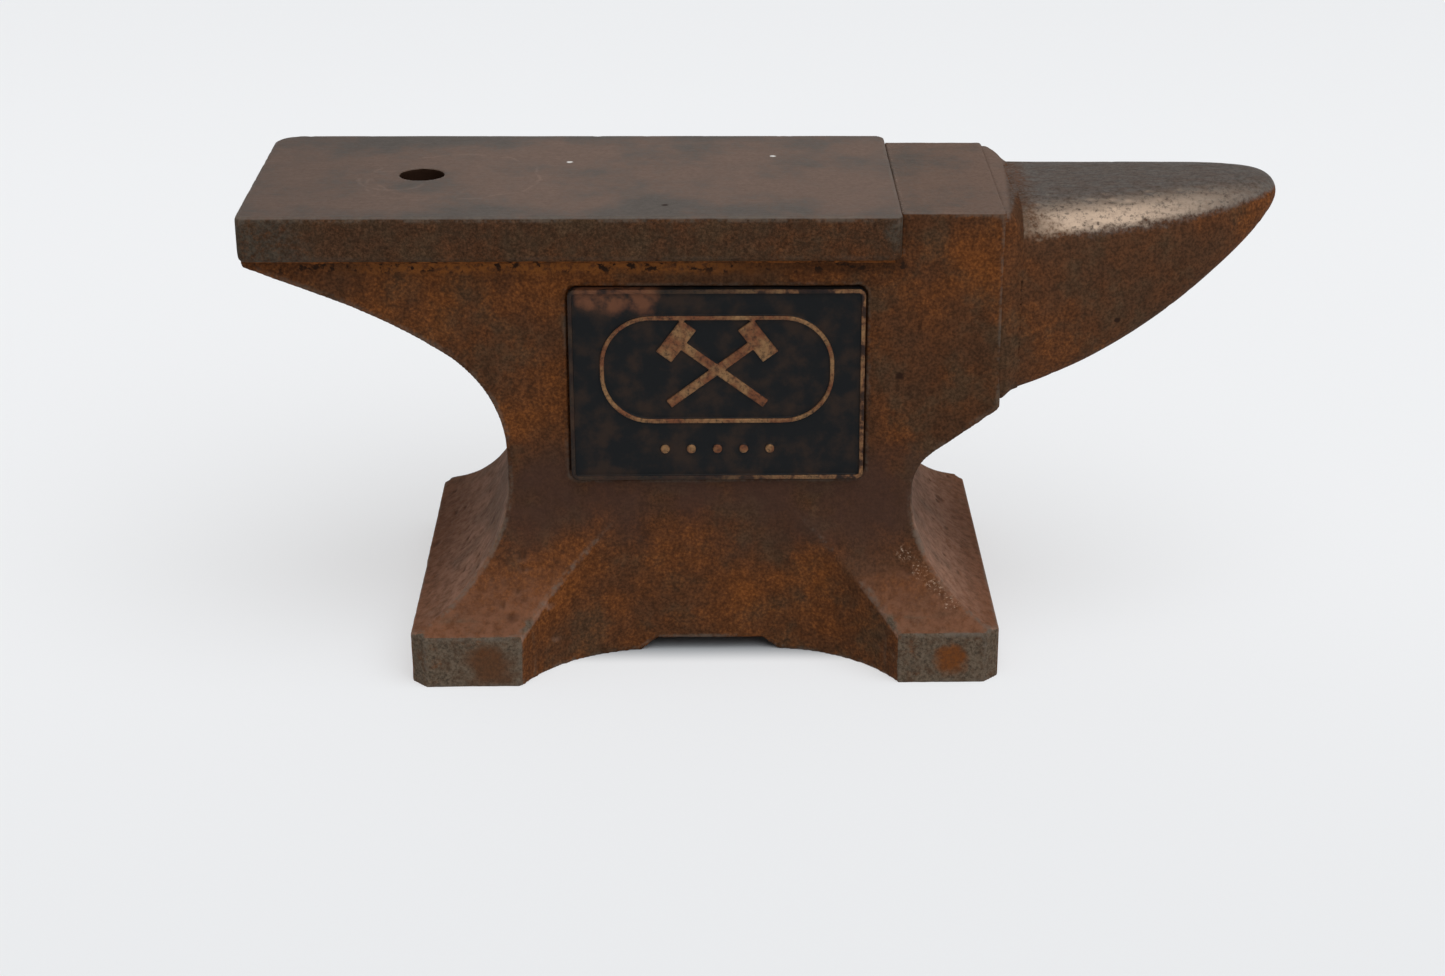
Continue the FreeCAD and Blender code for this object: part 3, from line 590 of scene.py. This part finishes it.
def worn_face():
    """The face: smooth grey-brown on top, dark brown at the sides, duller still at its worn corners."""
    shader = Shader(bpy.data.materials.new("worn_face"))
    upward = shader.between(shader.facing("Z"), 0.30, 0.70)
    corners = 0.0
    for place, radius in FACE_WORN_CORNERS:
        corners = shader.math("MAXIMUM", corners, shader.near(place, radius))
    rough = shader.between(shader.noise(2.5 * MM, detail=5.0, roughness=0.75), 0.36, 0.60)
    dull = shader.between(shader.noise(5 * MM, detail=6.0, roughness=0.75, seed=4.0), 0.42, 0.62)
    speckle = shader.between(shader.noise(0.9 * MM, detail=4.0, roughness=0.8, seed=3.0), 0.36, 0.64)
    side = shader.mix(shader.both(dull, 0.55), rust_colour(shader, -0.12), PLATE_OLIVE)
    side = shader.mix(shader.both(corners, rough), side, DULL_IRON)
    side = shader.shaded(side, speckle, 0.62, 1.14)
    colour = shader.mix(upward, side, face_top(shader))
    at_top = shader.between(shader.place("Z"), 121.5 * MM, 124 * MM)
    colour, worn = rubbed_edges(shader, colour, shader.sum((0.35, at_top), (0.12, 1.0)), IRON_GREY)
    # Painted shade: the walls down the hole are turned black, as the shade inside it.
    painted_shade_down_hole = shader.both(shader.near(HOLE, 30 * MM), shader.between(upward, 0.6, 0.1))
    colour = shader.mix(painted_shade_down_hole, colour, BLACK_BROWN)
    colour = shader.mix(shader.near_any(FACE_CHIPS, 1.2 * MM), colour, CHIP_WHITE)
    colour = shader.mix(shader.near(FACE_PIT, 1.3 * MM), colour, BLACK_BROWN)
    scratches = shader.noise(0.8 * MM, detail=2.0, vector=shader.stretched(24.0, 1.0, 1.0))
    fine = shader.noise(1.2 * MM, detail=4.0)
    bump = shader.bump(shader.sum((0.4, scratches), (0.8, fine)), 0.10 * MM)
    roughness = shader.sum((-0.18, upward), (-0.10, worn), (0.68, 1.0))
    specular = shader.sum((0.07, upward), (0.03, 1.0))
    return shader.finish(colour, roughness, 0.0, bump, specular)


def rusted_weld():
    """Rough weld metal under bright rust, black in its holes."""
    shader = Shader(bpy.data.materials.new("rusted_weld"))
    colour = rust_colour(shader, 0.24)
    hollow = shader.math("MAXIMUM", shader.attribute("hollow"), shader.attribute("pit"))
    colour = shader.mix(shader.both(hollow, 0.85), colour, BLACK_BROWN)
    return shader.finish(colour, 0.75, 0.0, cast_grain(shader, 0.30 * MM), 0.03)


def rusted_horn():
    """The horn: brown rust below, dark iron along the crest, and bare pitted iron on its shoulders, partly
    real wear and partly a painted highlight.
    """
    shader = Shader(bpy.data.materials.new("rusted_horn"))
    along = shader.place("X")
    at_root = shader.between(along, 84 * MM, 66 * MM)
    at_tip = shader.between(along, 112 * MM, 134 * MM)
    rust = rust_colour(shader, shader.sum((0.10, at_tip), (-0.04, 1.0)))
    streaks = shader.noise(1.8 * MM, detail=5.0, roughness=0.7, vector=shader.stretched(3.0, 1.0, 1.0))
    flakes = shader.noise(1.3 * MM, detail=6.0, roughness=0.8, seed=4.0)
    ragged = shader.sum((1.0, shader.facing("Z")), (0.5, flakes), (-0.55, at_root), (-0.25, 1.0))
    crest = shader.between(ragged, 0.28, 0.60)
    iron = shader.mix(shader.between(streaks, 0.35, 0.65), CREST_BROWN, CREST_GREY)
    iron = shader.shaded(iron, shader.between(flakes, 0.36, 0.60), 0.65, 1.15)
    colour = shader.mix(crest, rust, iron)
    skewed = shader.sum((1.0, along), (-0.075, shader.place("Y")), (2 * MM, flakes))
    on_collar = shader.both(
        shader.between(skewed, 66 * MM, 64.5 * MM),
        shader.between(shader.facing("Z"), 0.3, 0.6),
    )
    colour = shader.mix(on_collar, colour, face_top(shader))
    # Bare iron on both shoulders: partly real wear, partly a painted highlight made bright where the light
    # from above glints.
    sideways = shader.math("ABSOLUTE", shader.facing("Y"))
    band = shader.sum((1.0, shader.facing("Z")), (0.4, flakes), (-0.20, 1.0))
    bare = shader.both(
        shader.between(sideways, 0.15, 0.60),
        shader.between(band, 0.40, 0.62),
        shader.sum((0.6, shader.between(flakes, 0.38, 0.50)), (0.4, shader.between(streaks, 0.30, 0.55))),
        shader.between(shader.sum((1.0, along), (16 * MM, flakes)), 70 * MM, 86 * MM),
        shader.between(along, 142 * MM, 88 * MM),
    )
    colour = shader.mix(shader.both(bare, 0.95), colour, BARE_IRON)
    colour = shader.mix(shader.near(HORN_PIT, 1.3 * MM), colour, BLACK_BROWN)
    roughness = shader.sum((-0.25, crest), (0.70, 1.0))
    return shader.finish(colour, roughness, shader.both(bare, 0.5), cast_grain(shader, 0.14 * MM), 0.04)


def plaque_paint(shader, low, high, patches):
    """Near-black paint with brown smudges, and copper showing in spots near its upper left corner."""
    smudges = shader.between(shader.noise(7 * MM, detail=5.0), 0.42, 0.66)
    paint = shader.mix(smudges, PLATE_BLACK, PLATE_BROWN)
    spots = [(low[0] + reach * MM, low[1], high[2] - 2 * MM) for reach in (7, 13, 19)]
    copper = shader.both(shader.near_any(spots, 7 * MM), shader.between(patches, 0.38, 0.54))
    return shader.mix(shader.both(copper, 0.6), paint, COPPER)


def unrubbed_rim(shader, low, high, patches):
    """1 where the plaque's rim has kept its paint: all of it, but for patches to the right."""
    middle = (low + high) / 2
    half = (high - low) / 2
    off_middle = shader.math("ABSOLUTE", shader.math("SUBTRACT", shader.place("X"), middle[0]))
    off_level = shader.math("ABSOLUTE", shader.math("SUBTRACT", shader.place("Z"), middle[2]))
    on_rim = shader.math(
        "MAXIMUM",
        shader.between(off_middle, half[0] - 2.2 * MM, half[0] - 1.6 * MM),
        shader.between(off_level, half[2] - 2.2 * MM, half[2] - 1.6 * MM),
    )
    rightward = shader.between(shader.place("X"), middle[0] - 15 * MM, high[0] - 4 * MM)
    return shader.both(on_rim, shader.less(shader.both(rightward, shader.between(patches, 0.45, 0.52))))


def dark_brass():
    """Near-black paint over brass, worn through on the raised lines and parts of the rim."""
    shader = Shader(bpy.data.materials.new("dark_brass"))
    low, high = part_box("name_plaque")
    patches = shader.noise(6 * MM, detail=4.0, seed=6.0)
    rubbed = shader.noise(1.1 * MM, detail=5.0, roughness=0.7)
    bare = shader.both(
        shader.between(shader.place("Y"), low[1] + 0.60 * MM, low[1] + 0.15 * MM),
        shader.between(rubbed, 0.25, 0.60),
        shader.less(shader.both(unrubbed_rim(shader, low, high, patches), 0.9)),
    )
    metal = shader.mix(shader.between(patches, 0.40, 0.62), COPPER, BRASS)
    paint = plaque_paint(shader, low, high, patches)
    colour = shader.mix(shader.both(bare, 0.85), paint, metal)
    return shader.finish(colour, 0.45, shader.both(bare, 0.5), shader.bump(rubbed, 0.06 * MM), 0.10)


def stud_brass():
    """Plain drawn brass, gone dull."""
    shader = Shader(bpy.data.materials.new("stud_brass"))
    tarnish = shader.noise(1.5 * MM, detail=4.0)
    colour = shader.mix(tarnish, DULL_BRASS, BRIGHT_BRASS)
    return shader.finish(colour, 0.4, 1.0, shader.bump(tarnish, 0.03 * MM))


# ---------------------------------------------------------------- pieces

# Stretches of the pieces, each from where a change has no effect to where it has all of it.
HEEL_LIP_ALONG = (-131 * MM, -134 * MM)
HEEL_LIP_BELOW = (112.8 * MM, 111.6 * MM)
COLLAR_SHOULDER_OUT = (30.5 * MM, 32.5 * MM)
COLLAR_SHOULDER_UP = (119 * MM, 124 * MM)
HORN_OFF_ROOT = (66.5 * MM, 70 * MM)
# How close to the middle of the hole the face has no nicks.
NICK_FREE_RADIUS = 9 * MM


def cast_body():
    """The casting, with the lumps, pores and softened edges that a sand mould leaves."""
    surface = Surface(evened("anvil_body", 0.75 * MM))
    horn_end = surface.high[0]
    surface.smooth(1, surface.along("X", horn_end - 0.5 * MM, horn_end - 3 * MM))
    heel_lip = surface.along("X", *HEEL_LIP_ALONG) * surface.along("Z", *HEEL_LIP_BELOW)
    surface.smooth(10, heel_lip)
    upward = surface.normals()[:, 2]
    on_feet = (upward > 0.2) & (surface.points[:, 2] < 60 * MM)
    lumps = surface.noise(17 * MM) * 0.14 * MM + surface.noise(5 * MM, 3.7) * 0.08 * MM
    skin = surface.noise(1.9 * MM, 9.1) * 0.06 * MM
    on_sides = (upward < 0.5) | on_feet
    pores = surface.pits(5 * MM, 0.09) * on_sides
    gouges = surface.pits(2.2 * MM, 0.07, 5.5, (1.0, 1.9, 1.3)) * on_feet
    pit = np.maximum(pores, gouges)
    surface.push((lumps + skin - pit * 0.22 * MM) * surface.along("X", horn_end, horn_end - 3 * MM))
    surface.keep("pit", pit)
    surface.mark_edges(8, 0.28 * MM)
    new_piece("cast_body", surface.mesh, "anvil_body", rusted_casting())


def struck_face():
    """The face plate, with its edges nicked by work."""
    surface = Surface(evened("face_plate", 0.6 * MM))
    surface.smooth(1)
    from_hole = np.hypot(*(surface.points - np.array(HOLE))[:, :2].T)
    edge = surface.edges_and_hollows(6, 0.25 * MM)[0] * (from_hole > NICK_FREE_RADIUS)
    nicks = edge * np.clip(surface.noise(2.6 * MM, 8.4) - 0.2, 0.0, 1.0) * 0.20 * MM
    surface.push(surface.noise(14 * MM, 5.2) * 0.05 * MM - nicks)
    surface.mark_edges(8, 0.22 * MM)
    new_piece("struck_face", surface.mesh, "face_plate", worn_face())


def bead(name, node, material):
    """A weld bead with an uneven, crusty and holed skin."""
    surface = Surface(evened(node, 0.4 * MM))
    holes = surface.pits(2.6 * MM, 0.35, 1.9)
    lumps = surface.noise(3 * MM, 1.3) + 0.5 * surface.noise(1.2 * MM, 6.6)
    surface.push(lumps * 0.40 * MM - holes * 0.6 * MM)
    surface.keep("pit", holes * 1.5)
    surface.mark_edges(6, 0.15 * MM)
    new_piece(name, surface.mesh, node, material)


def horn_collar(material):
    """The weld round the horn's root, dressed flush; its rim is tucked under the casting's end."""
    surface = Surface(evened("horn_weld", 0.4 * MM))
    rim = surface.along("X", surface.low[0] + 0.6 * MM, surface.low[0])
    near_casting = surface.along("X", surface.low[0] + 3.0 * MM, surface.low[0] + 0.8 * MM)
    shoulder = surface.off_middle("Y", *COLLAR_SHOULDER_OUT) * surface.along("Z", *COLLAR_SHOULDER_UP)
    surface.low[0] -= COLLAR_TUCK
    surface.points[:, 0] -= rim * COLLAR_TUCK
    surface.write()
    surface.push(near_casting * shoulder * 0.8 * MM + surface.noise(3 * MM, 1.3) * 0.05 * MM)
    surface.mark_edges(6, 0.15 * MM)
    new_piece("horn_collar", surface.mesh, "horn_weld", material)


def forged_horn(material):
    """The horn, with the slight waviness and the pits of a cast and rubbed surface."""
    surface = Surface(evened("horn", 0.6 * MM))
    clear_of_root = surface.along("X", *HORN_OFF_ROOT)
    surface.smooth(20, clear_of_root)
    pits = surface.pits(3 * MM, 0.30, 2.2)
    surface.push((surface.noise(11 * MM, 2.9) * 0.08 * MM - pits * 0.15 * MM) * clear_of_root)
    surface.mark_edges(8, 0.2 * MM)
    new_piece("forged_horn", surface.mesh, "horn", material)


def plate_of_brass():
    """The name plate, its relief softened by wear."""
    surface = Surface(evened("name_plaque", 0.3 * MM))
    surface.smooth(2)
    surface.push(surface.noise(9 * MM, 4.4) * 0.06 * MM)
    surface.mark_edges(10, 0.20 * MM)
    new_piece("plate_of_brass", surface.mesh, "name_plaque", dark_brass())


# ---------------------------------------------------------------- setting


def paper_floor():
    """A pale paper floor whose glow is painted light standing in for soft fill light, a little dimmer near
    and far.
    """
    mesh = bpy.data.meshes.new("paper_floor")
    work = bmesh.new()
    bmesh.ops.create_grid(work, x_segments=8, y_segments=8, size=PAPER_REACH)
    work.to_mesh(mesh)
    work.free()
    floor = bpy.data.objects.new("paper_floor", mesh)
    bpy.context.scene.collection.objects.link(floor)
    shader = Shader(bpy.data.materials.new("floor_paper"))
    tone = shader.noise(400 * MM, detail=2.0)
    colour = shader.mix(tone, PAPER_DARK, PAPER_PALE)
    depth = shader.place("Y")
    # Painted falloff: the glow is dimmer nearer and farther, mixed with the paper's own random tone.
    nearer = shader.between(depth, 50 * MM, -250 * MM)
    farther = shader.between(depth, 300 * MM, 900 * MM)
    painted_falloff_and_tone = shader.sum((0.045, nearer), (0.030, farther), (0.020, tone))
    # Painted shadow: no glow on the ground under the feet and the arch between them.
    across = shader.math("ABSOLUTE", shader.math("SUBTRACT", shader.place("X"), SHADE_MIDDLE))
    off_line = shader.math("ABSOLUTE", depth)
    painted_shadow_under_anvil = shader.both(
        shader.between(across, SHADE_HALF_LENGTH + 3 * MM, SHADE_HALF_LENGTH - 6 * MM),
        shader.between(off_line, SHADE_HALF_WIDTH + 6 * MM, SHADE_HALF_WIDTH - 6 * MM),
    )
    # Painted light: the floor's glow, cut off under the anvil as a painted shadow.
    painted_glow = shader.both(shader.less(painted_shadow_under_anvil), shader.math("SUBTRACT", PAINTED_GLOW_STRENGTH, painted_falloff_and_tone))
    bump = shader.bump(tone, 0.1 * MM)
    mesh.materials.append(shader.finish(colour, 0.9, 0.0, bump, 0.1, painted_glow))


def studio():
    """White light from all round, and a big soft light high up in front, well out of the way."""
    shader = Shader(bpy.data.worlds.new("studio"), "Generated")
    toward = shader.nodes.new("ShaderNodeVectorMath")
    toward.operation = "DOT_PRODUCT"
    shader.feed(toward.inputs[0], shader.coordinates)
    toward.inputs[1].default_value = Vector(LIGHT_DIRECTION).normalized()
    lobe = shader.between(toward.outputs["Value"], math.cos(LIGHT_EDGE), math.cos(LIGHT_CORE))
    background = shader.nodes.new("ShaderNodeBackground")
    background.inputs["Color"].default_value = (*LIGHT_TINT, 1.0)
    shader.feed(background.inputs["Strength"], shader.sum((LIGHT_KEY, lobe), (LIGHT_ROUND, 1.0)))
    output = shader.nodes.new("ShaderNodeOutputWorld")
    shader.links.new(background.outputs["Background"], output.inputs["Surface"])
    bpy.context.scene.world = shader.owner
    bpy.context.scene.view_settings.view_transform = "Standard"


def place_camera():
    """The camera at the photograph's place and angle."""
    down = math.radians(CAMERA_DOWN)
    turn = math.radians(CAMERA_TURN)
    ahead = Vector((math.sin(turn) * math.cos(down), math.cos(turn) * math.cos(down), -math.sin(down)))
    right = Vector((math.cos(turn), -math.sin(turn), 0.0))
    up = right.cross(ahead)
    roll = math.radians(CAMERA_ROLL)
    rolled_right = right * math.cos(roll) + up * math.sin(roll)
    rolled_up = up * math.cos(roll) - right * math.sin(roll)
    camera = bpy.data.cameras.new("camera")
    camera.lens = CAMERA_LENS
    camera.sensor_width = CAMERA_SENSOR
    camera.shift_x, camera.shift_y = CAMERA_SHIFT
    camera.clip_start, camera.clip_end = CAMERA_CLIP
    holder = bpy.data.objects.new("camera", camera)
    bpy.context.scene.collection.objects.link(holder)
    turned = Matrix((rolled_right, rolled_up, -ahead)).transposed()
    holder.matrix_world = Matrix.Translation(CAMERA_PLACE) @ turned.to_4x4()
    bpy.context.scene.camera = holder


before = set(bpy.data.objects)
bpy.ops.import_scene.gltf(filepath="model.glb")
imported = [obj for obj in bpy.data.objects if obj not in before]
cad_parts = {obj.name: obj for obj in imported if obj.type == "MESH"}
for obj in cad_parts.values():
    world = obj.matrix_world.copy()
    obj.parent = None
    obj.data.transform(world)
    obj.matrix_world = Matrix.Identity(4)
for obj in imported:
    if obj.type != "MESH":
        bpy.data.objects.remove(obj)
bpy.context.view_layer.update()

cast_body()
struck_face()
weld_crust = rusted_weld()
bead("front_bead", "face_weld_front", weld_crust)
bead("back_bead", "face_weld_back", weld_crust)
horn_iron = rusted_horn()
horn_collar(horn_iron)
forged_horn(horn_iron)
plate_of_brass()
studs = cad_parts["plaque_studs"]
studs.data.materials.clear()
studs.data.materials.append(stud_brass())

paper_floor()
studio()
place_camera()
